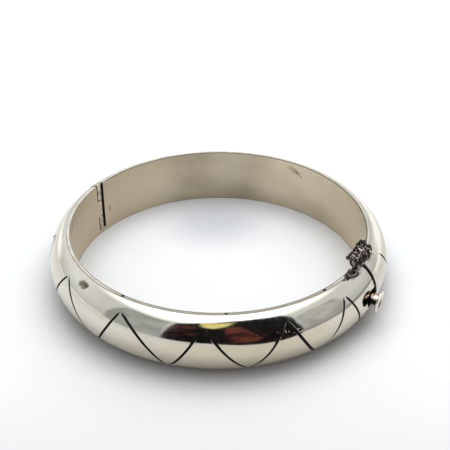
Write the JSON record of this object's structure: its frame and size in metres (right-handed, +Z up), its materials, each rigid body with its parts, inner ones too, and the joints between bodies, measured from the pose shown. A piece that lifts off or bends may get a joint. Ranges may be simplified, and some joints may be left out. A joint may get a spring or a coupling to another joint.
{
  "type": "hinged bangle",
  "caption": "Hollow half-round hinged bangle with an engraved zigzag, a push-button spring clasp and a short safety chain, lying on its side.",
  "frame": {"origin": "centre of the round wrist opening, in the plane that the bangle rests on", "axes": "+Z up through the wrist opening, +X to the clasp's seam, the hinge near -X"},
  "size_m": [0.0685, 0.0666, 0.0153],
  "materials": {
    "polished_silver": "mirror-polished silver outside, satin inside",
    "polished_silver_back": "mirror-polished silver outside, satin inside",
    "pin_wire": "drawn wire",
    "catch_metal": "polished, warm tarnish on the stem",
    "dark_silver": "oxidised nearly black, worn bright on the edges"
  },
  "bodies": {
    "bangle": {"front_half": "polished_silver", "back_half": "polished_silver_back", "hinge_pin": "pin_wire", "safety_chain": "dark_silver"},
    "catch": {"thumb_catch": "catch_metal"}
  },
  "joints": [
    {"name": "thumb_press", "type": "hinge", "parent": "bangle", "child": "catch", "pos_m": [0.03107, -0.00617, 0.00585], "axis": [0, 0, 1], "range_deg": [0, 9], "stiffness_Nm_per_rad": 0.02, "springref_deg": -5.73}
  ]
}
